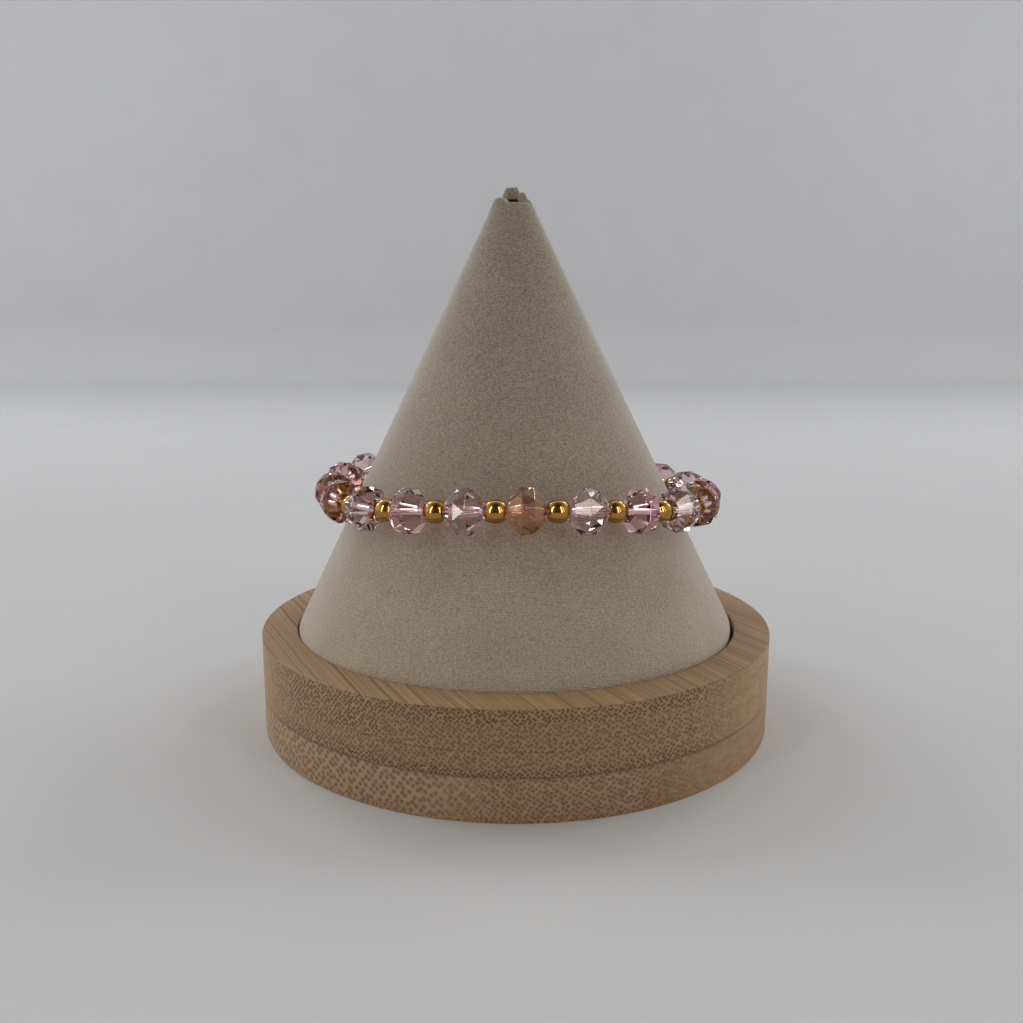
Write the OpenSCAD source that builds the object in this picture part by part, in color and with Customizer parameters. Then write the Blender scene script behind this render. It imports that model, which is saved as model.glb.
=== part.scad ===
// Beaded slider bracelet resting on a suede covered cone with a bamboo base, in millimetres.
// The origin is the middle of the base's underside. +Z is up and -Y faces the viewer.

/* [Base] */
// Diameter of the bamboo base
base_d = 100; // [94:1:120]
// Height of the bamboo base
base_h = 18.8; // [12:0.2:30]
// Bevel along the edges of the base
base_bevel = 0.5; // [0.2:0.1:1.5]
// Diameter of the recess that holds the cone's foot
recess_d = 86.6; // [86.6:0.2:88]
// Depth of the recess
recess_depth = 4; // [3.6:0.1:6]

/* [Cone] */
// Diameter of the cone where its straight side meets the level of the base's rim
cone_rim_d = 85.9; // [84:0.1:86]
// Height above the rim where the cone's sides would meet
cone_apex_h = 87.9; // [87:0.1:92]
// Height of the cut-off tip above the rim
cone_top_h = 81.2; // [76:0.1:82]
// Radius of the rounded foot
cone_foot_r = 3.5; // [3:0.1:3.8]
// Lean of the cone to the left, in degrees
cone_lean = 0.3; // [0:0.05:0.5]
// Shift of the cone's foot in its recess, to the right and away from the viewer
cone_shift = [-0.25, -0.2];
// Diameter of the hole in the tip
tip_hole_d = 2.6; // [1.5:0.1:3.2]
// Height of the fold that stands up behind the tip's hole
tip_fold_h = 2.1; // [1:0.1:3]

/* [Crystals] */
// Number of crystal beads
crystal_count = 15; // [13:2:15]
// Diameter of a crystal over its corners
crystal_d = 8; // [7.6:0.1:8]
// Length of a crystal along its hole
crystal_l = 6.1; // [5.8:0.1:6.4]
// Diameter of the octagonal table at either end
crystal_table_d = 4; // [3.2:0.1:4.4]
// Length of the zigzag band of triangles round the middle
crystal_band_l = 2; // [1.6:0.1:3]
// Diameter of the drilled hole in a crystal
crystal_bore_d = 1.2; // [1.1:0.1:1.6]
// Turn of the front crystal about its hole, in degrees
crystal_turn = 7; // [0:1:44]
// Turn from each crystal to the next, in degrees
crystal_turn_step = 17; // [0:1:44]

/* [Spacers] */
// Diameter of a gold spacer at its middle
spacer_d = 4; // [3.6:0.1:4.2]
// Length of a gold spacer along its hole
spacer_l = 3.5; // [3.1:0.1:3.5]
// Diameter of a gold spacer's ends
spacer_end_d = 2.6; // [2.4:0.1:3.2]
// Diameter of the hole in a gold spacer
spacer_bore_d = 1.5; // [1.1:0.1:1.8]
// Clearance on the thread between a crystal and a spacer
bead_gap = 0.34; // [0.34:0.005:0.4]

/* [Thread and chain] */
// Diameter of the thread
thread_d = 0.7; // [0.4:0.1:0.8]
// Length of the crimp that ends the row of beads
crimp_l = 2.4; // [2:0.1:3]
// Diameter of the crimp
crimp_d = 2; // [1.8:0.1:2.4]
// Middle radius of a round chain link
link_r = 0.95; // [0.95:0.01:1]
// Diameter of the chain's wire
link_wire_d = 0.44; // [0.36:0.02:0.44]
// Length of the slider bead
slider_l = 7; // [6:0.1:8]
// Diameter of the slider bead
slider_d = 6; // [5.4:0.1:6]

/* [Loop] */
// Half the width of the loop, left to right
loop_half_w = 35.7; // [35.7:0.1:36]
// Half the depth of the loop, front to back
loop_half_d = 34.2; // [34.2:0.1:34.6]
// Middle of the loop, to the right and away from the viewer
loop_mid = [0.6, -0.6];
// Mean height of the loop above the base's rim
loop_h = 26.3; // [26.2:0.1:27]
// Rise of the loop's front over its back, halved
loop_front_rise = 0.3; // [0:0.1:0.6]
// Rise of the loop's front and back over its sides, halved
loop_side_sag = 0.8; // [0.6:0.1:1.2]
// Rise of the loop's left side over its right, halved
loop_left_rise = 1; // [0.8:0.1:1.2]
// Twist of the loop between its four quarters
loop_twist = 0.5; // [0.3:0.1:0.7]
// Height of the three waves in the loop, one of which peaks at the front
loop_wave = 0.4; // [0.2:0.1:0.6]
// Shift of the loop's front right and rear left quarters away from the viewer
loop_skew = 0.4; // [0.2:0.1:0.6]
// Distance along the loop from its front to the front crystal's middle
loop_shift = 1.1; // [0:0.1:2]
// Drop of each chain below the loop at its middle, where it hangs against the cone
chain_drop = 2.6; // [1.6:0.1:2.8]

/* [Hidden] */
$fn = 64;
sides = 8;
side_angle = 360 / sides;
loop_steps = 360;
loop_dir_step = 0.5;
thread_sides = 8;
barrel_cuts = 8;
overlap = 1;

pitch = crystal_l + spacer_l + 2 * bead_gap;
link_wire_r = link_wire_d / 2;
link_gap = 0.18;
link_pitch = 2 * link_r - link_wire_d - link_gap;
link_outer_d = 2 * link_r + link_wire_d;
link_turn = 45;
eye_sunk = 0.1;
chain_end_gap = 0.3;
slider_bore_gap = 0.3;
slider_end_share = 0.7;
crimp_bore_gap = 0.15;
crimp_bore_l = 0.85 * crimp_l;

recess_floor = base_h - recess_depth;
cone_seat_gap = 0.1;
cone_half_angle = atan(cone_rim_d / 2 / cone_apex_h);
foot_steps = 8;
foot_z = -recess_depth + cone_foot_r;
foot_mid_r = cone_side_r(foot_z + cone_foot_r * sin(cone_half_angle)) - cone_foot_r * cos(cone_half_angle);
tip_round = 0.8;
tip_hole_depth = 3;
fold_wall = 1.1;
fold_edge_inset = 0.22;
high_fold_angles = [55, 135];
low_fold_angles = [5, 50];
low_fold_share = 0.5;

gold = "#c8962f";
crystal_pink = "#dcb9bf";
suede_beige = "#b5a996";
bamboo_tan = "#b58f63";
thread_white = "#e6ddd6";

function two_digits(n) = n < 10 ? str("0", n) : str(n);
function crystal_name(n) = str("crystal_bead_", two_digits(n));
function spacer_name(n) = str("gold_spacer_", two_digits(n));

// Radius of the cone's straight side at a height above the rim
function cone_side_r(z) = cone_rim_d / 2 * (1 - z / cone_apex_h);

// Each chain hangs between two angles counted from the loop's back
chain_angles = [7, 41];
function drop_at(t) =
    let (u = (abs(t - 180) - chain_angles[0]) / (chain_angles[1] - chain_angles[0]))
    u < 0 || u > 1 ? 0 : chain_drop * pow(sin(180 * u), 2);

// A point of the loop: t is the angle round it, 0 at the front and 90 at the right
function loop_point(t) = [
    loop_mid[0] + loop_half_w * sin(t),
    loop_mid[1] - loop_half_d * cos(t) + loop_skew * sin(2 * t),
    base_h + loop_h + loop_front_rise * cos(t) + loop_side_sag * cos(2 * t) + loop_wave * cos(3 * t)
        - loop_left_rise * sin(t) + loop_twist * sin(2 * t) - drop_at(t)
];
LOOP = [for (i = [0 : loop_steps]) loop_point(i * 360 / loop_steps)];
ARC = [
    for (i = 0, s = 0; i <= loop_steps; s = s + norm(LOOP[min(i + 1, loop_steps)] - LOOP[i]), i = i + 1)
        [s, i * 360 / loop_steps]
];
loop_l = ARC[loop_steps][0];

// The loop's point and its direction at a distance along it from the front, to the left if below zero
function wrap(s) = s < 0 ? s + loop_l : (s > loop_l ? s - loop_l : s);
function loop_at(s) = loop_point(lookup(wrap(s), ARC));
function unit(v) = v / norm(v);
function loop_dir(s) = unit(loop_at(s + loop_dir_step) - loop_at(s - loop_dir_step));

// Places along the loop: crystals and spacers are numbered from the rear left
mid_crystal = (crystal_count + 1) / 2;
function crystal_s(n) = loop_shift + (n - mid_crystal) * pitch;
function spacer_s(n) = loop_shift + (n - mid_crystal - 0.5) * pitch;
row_half_l = crystal_count * pitch / 2 + spacer_l / 2;
crimp_s = row_half_l + bead_gap + crimp_l / 2;
eye_offset = crimp_l / 2 + link_r - eye_sunk;
first_link_s = crimp_s + eye_offset + link_pitch;
slider_s = loop_shift + loop_l / 2;
last_link_s = loop_l / 2 - link_outer_d / 2 - chain_end_gap;
link_count = 1 + floor((last_link_s - first_link_s) / link_pitch);

// Puts its child on the loop with the child's Z axis along it
module on_loop(s, turn = 0) {
    dir = loop_dir(s);
    translate(loop_at(s))
        rotate([0, acos(dir[2]), atan2(dir[1], dir[0])])
            rotate([0, 0, turn])
                children();
}

// A drilled barrel whose side is turned in short straight cuts along one arc
module barrel(d, l, end_d, bore_d) {
    sag = (d - end_d) / 2;
    arc_r = (l * l / 4 + sag * sag) / (2 * sag);
    half_sweep = asin(l / 2 / arc_r);
    side = [
        for (i = [0 : barrel_cuts])
            let (a = half_sweep * (2 * i / barrel_cuts - 1))
            [d / 2 - arc_r + arc_r * cos(a), arc_r * sin(a)]
    ];
    rotate_extrude()
        polygon(concat([[bore_d / 2, -l / 2]], side, [[bore_d / 2, l / 2]]));
}

// Eight corners of a ring of the cut, at a height, a radius and a first angle
function cut_ring(z, r, start) = [
    for (k = [0 : sides - 1]) [r * cos(start + k * side_angle), r * sin(start + k * side_angle), z]
];

// A cut crystal: two tables, two rows of eight trapezoids and a band of sixteen triangles
module crystal_cut() {
    half = crystal_l / 2;
    band = crystal_band_l / 2;
    stagger = side_angle / 2;
    corners = concat(
        cut_ring(half, crystal_table_d / 2, 0),
        cut_ring(band, crystal_d / 2, 0),
        cut_ring(-band, crystal_d / 2, stagger),
        cut_ring(-half, crystal_table_d / 2, stagger)
    );
    function at(row, k) = row * sides + (k + sides) % sides;
    facets = concat(
        [[for (k = [sides - 1 : -1 : 0]) at(0, k)]],
        [for (k = [0 : sides - 1]) [at(0, k), at(0, k + 1), at(1, k + 1), at(1, k)]],
        [for (k = [0 : sides - 1]) [at(1, k), at(1, k + 1), at(2, k)]],
        [for (k = [0 : sides - 1]) [at(1, k + 1), at(2, k + 1), at(2, k)]],
        [for (k = [0 : sides - 1]) [at(2, k), at(2, k + 1), at(3, k + 1), at(3, k)]],
        [[for (k = [0 : sides - 1]) at(3, k)]]
    );
    polyhedron(points = corners, faces = facets);
}

module crystal_bead(n) {
    color(crystal_pink)
        on_loop(crystal_s(n), crystal_turn + (n - mid_crystal) * crystal_turn_step)
            difference() {
                crystal_cut();
                cylinder(h = crystal_l + 2 * overlap, d = crystal_bore_d, center = true);
            }
}

module gold_spacer(n) {
    color(gold)
        on_loop(spacer_s(n))
            barrel(spacer_d, spacer_l, spacer_end_d, spacer_bore_d);
}

// The thread runs straight through each bead and bends only between them
function bead_ends(s, l) = [
    [loop_at(s) - loop_dir(s) * l / 2, loop_dir(s)],
    [loop_at(s) + loop_dir(s) * l / 2, loop_dir(s)]
];
thread_route = concat(
    [for (n = [1 : crystal_count]) each concat(
        bead_ends(spacer_s(n), spacer_l),
        bead_ends(crystal_s(n), crystal_l)
    )],
    bead_ends(spacer_s(crystal_count + 1), spacer_l)
);
thread_stub = crimp_l / 2;
thread_rings = concat(
    [bead_ends(loop_shift - crimp_s, crimp_l - thread_stub)[0]],
    [bead_ends(loop_shift - crimp_s, crimp_l)[1]],
    thread_route,
    [bead_ends(loop_shift + crimp_s, crimp_l)[0]],
    [bead_ends(loop_shift + crimp_s, crimp_l - thread_stub)[1]]
);

// Corners of the thread round one ring, which is a point and a direction
function thread_ring(ring) =
    let (
        side = unit(cross([0, 0, 1], ring[1])),
        up = cross(ring[1], side)
    )
    [for (k = [0 : thread_sides - 1])
        ring[0] + thread_d / 2 * (side * cos(k * 360 / thread_sides) + up * sin(k * 360 / thread_sides))];

module thread() {
    last = len(thread_rings) - 1;
    function corner(i, k) = i * thread_sides + k % thread_sides;
    color(thread_white)
        polyhedron(
            points = [for (ring = thread_rings) each thread_ring(ring)],
            faces = concat(
                [[for (k = [0 : thread_sides - 1]) corner(0, k)]],
                [for (i = [0 : last - 1], k = [0 : thread_sides - 1])
                    [corner(i, k), corner(i + 1, k), corner(i + 1, k + 1), corner(i, k + 1)]],
                [[for (k = [thread_sides - 1 : -1 : 0]) corner(last, k)]]
            )
        );
}

// One round link, its ring standing in the plane of the chain
module ring_link() {
    rotate([90, 0, 0])
        rotate_extrude()
            translate([link_r, 0])
                circle(r = link_wire_r);
}

// The crimp is closed on the thread's end, with an eye soldered to its far face
module end_eye(side) {
    color(gold)
        on_loop(loop_shift + side * crimp_s, -link_turn)
            union() {
                difference() {
                    cylinder(h = crimp_l, d = crimp_d, center = true);
                    translate([0, 0, -side * crimp_l / 2])
                        cylinder(h = 2 * crimp_bore_l, d = thread_d + 2 * crimp_bore_gap, center = true);
                }
                translate([0, 0, side * eye_offset])
                    ring_link();
            }
}

module chain(side) {
    color(gold)
        for (k = [0 : link_count - 1])
            on_loop(loop_shift + side * (first_link_s + k * link_pitch), link_turn + k * 90)
                ring_link();
}

module slider_bead() {
    color(gold)
        on_loop(slider_s)
            barrel(slider_d, slider_l, slider_d * slider_end_share, link_outer_d + 2 * slider_bore_gap);
}

module bamboo_base() {
    r = base_d / 2;
    hole_r = recess_d / 2;
    color(bamboo_tan)
        rotate_extrude()
            polygon([
                [0, 0],
                [r - base_bevel, 0],
                [r, base_bevel],
                [r, base_h - base_bevel],
                [r - base_bevel, base_h],
                [hole_r + base_bevel, base_h],
                [hole_r, base_h - base_bevel],
                [hole_r, recess_floor],
                [0, recess_floor]
            ]);
}

// A fold of suede that stands up round the tip's hole between two angles
module tip_fold(angles, h) {
    inner_r = tip_hole_d / 2;
    rotate([0, 0, angles[0]])
        rotate_extrude(angle = angles[1] - angles[0])
            polygon([
                [inner_r, -tip_round],
                [inner_r + fold_wall, -tip_round],
                [inner_r + fold_wall - fold_edge_inset, h],
                [inner_r + fold_edge_inset, h]
            ]);
}

module display_cone() {
    top_r = cone_side_r(cone_top_h);
    foot_arc = [
        for (i = [0 : foot_steps])
            let (a = -90 + i * (90 + cone_half_angle) / foot_steps)
            [foot_mid_r + cone_foot_r * cos(a), foot_z + cone_foot_r * sin(a)]
    ];
    color(suede_beige)
        translate([cone_shift[0], cone_shift[1], base_h])
            intersection() {
                rotate([0, -cone_lean, 0])
                    difference() {
                        union() {
                            rotate_extrude()
                                polygon(concat(
                                    [[0, -recess_depth - overlap], [foot_mid_r, -recess_depth - overlap]],
                                    foot_arc,
                                    [[top_r, cone_top_h - tip_round], [top_r - tip_round, cone_top_h],
                                     [0, cone_top_h]]
                                ));
                            translate([0, 0, cone_top_h])
                                tip_fold(high_fold_angles, tip_fold_h);
                            translate([0, 0, cone_top_h])
                                tip_fold(low_fold_angles, tip_fold_h * low_fold_share);
                        }
                        translate([0, 0, cone_top_h - tip_hole_depth])
                            cylinder(h = tip_hole_depth + overlap, d = tip_hole_d);
                    }
                translate([-base_d / 2, -base_d / 2, cone_seat_gap - recess_depth])
                    cube([base_d, base_d, 2 * cone_apex_h]);
            }
}

bamboo_base();
display_cone();
thread();
for (n = [1 : crystal_count])
    crystal_bead(n);
for (n = [1 : crystal_count + 1])
    gold_spacer(n);
end_eye(-1);  // end_eye_left
end_eye(1);  // end_eye_right
chain(-1);  // chain_left
chain(1);  // chain_right
slider_bead();
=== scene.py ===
"""The finished look of a beaded slider bracelet on its cloth covered cone stand.

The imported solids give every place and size. The crystals, spacers, thread, cone cover and base are
modelled finely over them, the chain keeps its solids, and a pale sweep under soft light is the studio.
"""

import logging
import math
from collections import defaultdict
from dataclasses import dataclass, field
from enum import Enum
from typing import Iterable, Sequence

import bmesh
import bpy
from mathutils import Matrix, Vector, noise

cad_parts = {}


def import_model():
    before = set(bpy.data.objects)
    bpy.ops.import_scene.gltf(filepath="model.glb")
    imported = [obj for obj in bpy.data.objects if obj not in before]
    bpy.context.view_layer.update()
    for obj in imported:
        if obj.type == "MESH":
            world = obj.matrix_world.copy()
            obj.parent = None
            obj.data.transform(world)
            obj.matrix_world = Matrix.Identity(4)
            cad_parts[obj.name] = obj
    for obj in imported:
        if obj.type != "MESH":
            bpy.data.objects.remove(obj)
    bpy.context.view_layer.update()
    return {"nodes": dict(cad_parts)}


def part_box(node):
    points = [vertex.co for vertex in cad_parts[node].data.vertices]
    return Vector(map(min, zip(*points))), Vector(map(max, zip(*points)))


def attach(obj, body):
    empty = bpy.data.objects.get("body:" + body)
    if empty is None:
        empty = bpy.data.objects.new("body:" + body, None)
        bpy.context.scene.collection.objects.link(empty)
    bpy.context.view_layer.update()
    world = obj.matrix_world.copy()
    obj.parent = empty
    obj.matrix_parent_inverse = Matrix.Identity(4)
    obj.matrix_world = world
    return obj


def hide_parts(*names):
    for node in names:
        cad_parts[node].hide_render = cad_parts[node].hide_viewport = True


MM = 0.001
MERGE = 0.001 * MM
CRYSTAL_COUNT = 15
SPACER_COUNT = CRYSTAL_COUNT + 1
# One unit of the cloth's UV map.
CLOTH_UNIT_MM = 100.0
# A wave texture of scale 1 repeats after so many units, across straight and across diagonal bands.
STRAIGHT_PERIOD, DIAGONAL_PERIOD = 0.314, 0.363
# The least cosine at which a face lies square to an axis, and a bead's end, in lengths from its middle.
SQUARE, AT_END = 0.999, 0.499
LOG = logging.getLogger("bracelet")

Mesh = bmesh.types.BMesh
Object = bpy.types.Object
Material = bpy.types.Material
Tree = bpy.types.NodeTree
Feed = bpy.types.Node | bpy.types.NodeSocket
Place = tuple[float, float, float]
Span = tuple[float, float]


def linear(colour: str) -> tuple[float, float, float, float]:
    """Turns an sRGB hex colour into the linear one that a shader reads.

    Args:
        colour: Six hex digits after a hash, such as "#c8962f".

    Returns:
        Linear red, green and blue, and an alpha of 1.
    """
    shares = [int(colour[i : i + 2], 16) / 255 for i in (1, 3, 5)]
    values = [s / 12.92 if s <= 0.04045 else ((s + 0.055) / 1.055) ** 2.4 for s in shares]
    return (*values, 1.0)


def add_node(tree: Tree, kind: str, inputs: dict | Sequence = (), **settings: object) -> bpy.types.Node:
    """Adds a node, sets its properties and fills its inputs.

    Args:
        tree: The node tree of a material or a world.
        kind: The node's type, without the word ShaderNode in front.
        inputs: What goes into the inputs in use: a dict by their names, or a list in their order. Each is
            a value, an output, or a node, which stands for its first output in use.
        **settings: The node's own properties.

    Returns:
        The new node.
    """
    node = tree.nodes.new(f"ShaderNode{kind}")
    for name, value in settings.items():
        setattr(node, name, value)
    used = [socket for socket in node.inputs if socket.enabled]
    if isinstance(inputs, dict):
        by_name = {socket.name: socket for socket in used}
        used, inputs = [by_name[name] for name in inputs], inputs.values()
    for socket, value in zip(used, inputs):
        if isinstance(value, bpy.types.Node):
            value = next(output for output in value.outputs if output.enabled)
        if isinstance(value, bpy.types.NodeSocket):
            tree.links.new(value, socket)
        else:
            socket.default_value = value
    return node


def blank_material(name: str) -> tuple[Material, Tree]:
    """Makes a node material with an empty tree.

    Args:
        name: The material's name.

    Returns:
        The material and its tree.
    """
    material = bpy.data.materials.new(name)
    material.use_nodes = True
    material.node_tree.nodes.clear()
    return material, material.node_tree


@dataclass(frozen=True)
class CrystalGlass:
    """Machine cut lead-free crystal with a thin copper lustre on one side.

    The glass is clear with a breath of rose, so the cloth shows through it broken up by the facets. The
    vapour coat gives the coated side pink and amber gleams and turns what is seen through it amber.
    """

    clear_tint: str = "#f2dbe0"
    rose_tint: str = "#e59a97"
    copper_tint: str = "#d98a3e"
    ior: float = 1.54
    rose_film_nm: float = 285.0
    copper_film_nm: float = 118.0
    film_from: float = 0.3
    copper_from: float = 0.4
    film_ior: float = 1.9

    def make(self) -> Material:
        """Builds the material. It reads the lustre and warmth kept on each facet.

        Returns:
            The material.
        """
        material, tree = blank_material("rose_crystal_glass")
        lustre = add_node(tree, "Attribute", attribute_name="lustre").outputs["Fac"]
        warmth = add_node(tree, "Attribute", attribute_name="warmth").outputs["Fac"]
        tints = [linear(self.rose_tint), linear(self.copper_tint)]
        coat = add_node(tree, "Mix", [warmth, *tints], data_type="RGBA")
        tint = add_node(tree, "Mix", [lustre, linear(self.clear_tint), coat], data_type="RGBA")
        filmed = add_node(tree, "Math", [lustre, self.film_from], operation="GREATER_THAN")
        coppery = add_node(tree, "Math", [warmth, self.copper_from], operation="GREATER_THAN")
        thickness = add_node(tree, "MapRange", [coppery, 0.0, 1.0, self.rose_film_nm, self.copper_film_nm])
        shader = add_node(
            tree, "BsdfPrincipled",
            {
                "Base Color": tint,
                "Roughness": 0.0,
                "IOR": self.ior,
                "Transmission Weight": 1.0,
                "Thin Film Thickness": add_node(tree, "Math", [filmed, thickness], operation="MULTIPLY"),
                "Thin Film IOR": self.film_ior,
            },
        )
        add_node(tree, "OutputMaterial", {"Surface": shader})
        return material


@dataclass(frozen=True)
class PolishedGold:
    """Gold plated brass, barrel polished: a deep yellow mirror with hair-fine tumbling marks."""

    colour: str = "#bf9655"
    worn_colour: str = "#a87c3c"
    roughness: Span = (0.036, 0.09)
    mark_mm: float = 0.35

    def make(self) -> Material:
        """Builds the material. Fine noise shifts its colour and its roughness.

        Returns:
            The material.
        """
        material, tree = blank_material("polished_gold_plate")
        place = add_node(tree, "TexCoord").outputs["Object"]
        marks = add_node(tree, "TexNoise", {"Vector": place, "Scale": 1 / (self.mark_mm * MM), "Detail": 4.0})
        tones = [linear(self.colour), linear(self.worn_colour)]
        shader = add_node(
            tree, "BsdfPrincipled",
            {
                "Base Color": add_node(tree, "Mix", [marks, *tones], data_type="RGBA"),
                "Metallic": 1.0,
                "Roughness": add_node(tree, "MapRange", [marks, 0.0, 1.0, *self.roughness]),
                "Normal": add_node(tree, "Bump", {"Height": marks, "Strength": 0.05, "Distance": 0.01 * MM}),
            },
        )
        add_node(tree, "OutputMaterial", {"Surface": shader})
        return material


@dataclass(frozen=True)
class NylonThread:
    """Bonded nylon beading thread: pale, a little waxy, with the lay of its twist just showing."""

    colour: str = "#e9dfda"
    twist_mm: float = 0.605

    def make(self) -> Material:
        """Builds the material. A wave across the thread is its twist.

        Returns:
            The material.
        """
        material, tree = blank_material("bonded_nylon_thread")
        place = add_node(tree, "TexCoord").outputs["Object"]
        scale = DIAGONAL_PERIOD / (self.twist_mm * MM)
        lay = add_node(
            tree, "TexWave", {"Vector": place, "Scale": scale, "Distortion": 0.6}, bands_direction="DIAGONAL"
        ).outputs["Fac"]
        bump = add_node(tree, "Bump", {"Height": lay, "Strength": 0.4, "Distance": 0.03 * MM})
        shader = add_node(
            tree, "BsdfPrincipled", {"Base Color": linear(self.colour), "Roughness": 0.3, "Normal": bump}
        )
        add_node(tree, "OutputMaterial", {"Surface": shader})
        return material


@dataclass(frozen=True)
class SuedeCloth:
    """Faux suede on a woven ground: a matt greige nap through which the cloth's threads show faintly.

    A painted sheen pales its colour at a grazing angle, on top of the shader's own sheen, so the cone's sides
    are paler than its middle. Painted shade makes it darker towards the tip and lighter at the foot, and it
    lies calmer near the foot. The real nap and threads are finer than a third of a millimetre, and they are
    drawn that coarse so that they show.
    """

    colour: str = "#d6c7b2"
    dark_colour: str = "#8d8070"
    fleck_colour: str = "#6f6353"
    # Painted shade inside the tip's hole.
    painted_hollow_shade_colour: str = "#8a7260"
    # Painted sheen: the pale colour that the cloth turns at a grazing angle.
    painted_sheen_colour: str = "#efe9df"
    sheen_tint: str = "#f4f2ee"
    # How strong the painted sheen is, and how sharply it grows towards a grazing angle.
    painted_sheen_strength: float = 0.62
    painted_sheen_power: float = 3.0
    thread_mm: float = 0.34
    thread_shares: Span = (0.4, 0.16)
    nap_mm: float = 0.34
    pile_range: Span = (0.4, 0.82)
    fleck_mm: float = 0.5
    fleck_range: Span = (0.62, 0.74)
    fleck_share: float = 0.5
    mottle_mm: float = 9.0
    mottle_range: Span = (0.3, 0.7)
    mottle_tone: Span = (0.94, 1.06)
    calm_to_brushed_mm: Span = (20.0, 85.0)
    foot_contrast: float = 0.6
    # Painted shade: the heights, tones and curve of the darkening towards the tip.
    painted_shade_mm: Span = (18.0, 98.0)
    painted_shade_tone: Span = (1.17, 0.74)
    painted_shade_curve: float = 0.6
    # The painted sheen fades out over these heights, below the cut tip.
    cut_mm: Span = (96.5, 98.5)

    def make(self) -> Material:
        """Builds the material. Its threads follow the unrolled cloth.

        Returns:
            The material.
        """
        material, tree = blank_material("faux_suede_cloth")
        place = add_node(tree, "TexCoord").outputs["Object"]
        height = add_node(tree, "SeparateXYZ", [place]).outputs["Z"]
        pile = self._pile(tree, place)
        toned = add_node(
            tree, "HueSaturation",
            {"Color": self._weave(tree, place, height, pile), "Value": self._tone(tree, place, height)},
        )
        # Painted sheen: the colour pales towards a grazing angle, on top of the shader's own sheen.
        grazing = add_node(tree, "LayerWeight", {"Blend": 0.5}).outputs["Facing"]
        painted_sheen_falloff = add_node(tree, "Math", [grazing, self.painted_sheen_power], operation="POWER")
        painted_sheen_below_cut = self._by_height(tree, height, self.cut_mm, (self.painted_sheen_strength, 0.0))
        painted_sheen_share = add_node(tree, "Math", [painted_sheen_falloff, painted_sheen_below_cut], operation="MULTIPLY")
        with_painted_sheen = add_node(tree, "Mix", [painted_sheen_share, toned, linear(self.painted_sheen_colour)], data_type="RGBA")
        # Painted shade: the inside of the tip's hole is coloured dark.
        painted_hollow_shade = add_node(tree, "Attribute", attribute_name="painted_hollow_shade").outputs["Fac"]
        shader = add_node(
            tree, "BsdfPrincipled",
            {
                "Base Color": add_node(
                    tree, "Mix", [painted_hollow_shade, with_painted_sheen, linear(self.painted_hollow_shade_colour)], data_type="RGBA"
                ),
                "Roughness": 0.95,
                "Specular IOR Level": 0.2,
                "Sheen Weight": 0.7,
                "Sheen Roughness": 0.35,
                "Sheen Tint": linear(self.sheen_tint),
                "Normal": add_node(tree, "Bump", {"Height": pile, "Strength": 0.6, "Distance": 0.12 * MM}),
            },
        )
        add_node(tree, "OutputMaterial", {"Surface": shader})
        return material

    def _pile(self, tree: Tree, place: Feed) -> Feed:
        """Gives the height of the nap, with the threads under it.

        Args:
            tree: The material's tree.
            place: The place on the cone.

        Returns:
            The height, from about 0.2 to 1.
        """
        cloth = add_node(tree, "UVMap", uv_map="cloth")
        wave = {
            "Vector": cloth, "Scale": CLOTH_UNIT_MM * STRAIGHT_PERIOD / self.thread_mm,
            "Distortion": 2.5, "Detail": 2.0, "Detail Scale": 3.0,
        }
        warp, weft = (add_node(tree, "TexWave", wave, bands_direction=way).outputs["Fac"] for way in "XY")
        in_warp, in_pile = self.thread_shares
        weave = add_node(tree, "Math", [warp, in_warp, weft], operation="MULTIPLY_ADD")
        nap = add_node(
            tree, "TexNoise",
            {"Vector": place, "Scale": 1 / (self.nap_mm * MM), "Detail": 2.0, "Roughness": 0.7},
        )
        return add_node(tree, "Math", [weave, in_pile, nap], operation="MULTIPLY_ADD")

    def _weave(self, tree: Tree, place: Feed, height: Feed, pile: Feed) -> Feed:
        """Colours the nap by its height, with less contrast near the foot, and strews dark flecks over it.

        Args:
            tree: The material's tree.
            place: The place on the cone.
            height: The height above the table, in metres.
            pile: The height of the nap.

        Returns:
            The colour.
        """
        shade = add_node(tree, "MapRange", [pile, *self.pile_range])
        contrast = self._by_height(tree, height, self.calm_to_brushed_mm, (self.foot_contrast, 1.0))
        grain = add_node(tree, "Mix", [contrast, 0.5, shade], data_type="FLOAT")
        ground = add_node(
            tree, "Mix", [grain, linear(self.dark_colour), linear(self.colour)], data_type="RGBA"
        )
        scale = 1 / (self.fleck_mm * MM)
        flecks = add_node(tree, "TexNoise", {"Vector": place, "Scale": scale, "Detail": 3.0})
        share = add_node(tree, "MapRange", [flecks, *self.fleck_range, 0.0, self.fleck_share])
        return add_node(tree, "Mix", [share, ground, linear(self.fleck_colour)], data_type="RGBA")

    def _tone(self, tree: Tree, place: Feed, height: Feed) -> Feed:
        """Gives the cloth's brightness: faint mottling, and painted shade, darker towards the tip and lighter
        at the foot.

        Args:
            tree: The material's tree.
            place: The place on the cone.
            height: The height above the table, in metres.

        Returns:
            The brightness, around 1.
        """
        scale = 1 / (self.mottle_mm * MM)
        mottle = add_node(tree, "TexNoise", {"Vector": place, "Scale": scale, "Detail": 3.0})
        tone = add_node(tree, "MapRange", [mottle, *self.mottle_range, *self.mottle_tone])
        # Painted shade: lighter at the foot and darker towards the tip.
        painted_shade_rise = self._by_height(tree, height, self.painted_shade_mm, (0.0, 1.0))
        painted_shade_bent = add_node(tree, "Math", [painted_shade_rise, self.painted_shade_curve], operation="POWER")
        painted_shade = add_node(tree, "MapRange", [painted_shade_bent, 0.0, 1.0, *self.painted_shade_tone])
        return add_node(tree, "Math", [tone, painted_shade], operation="MULTIPLY")

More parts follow.
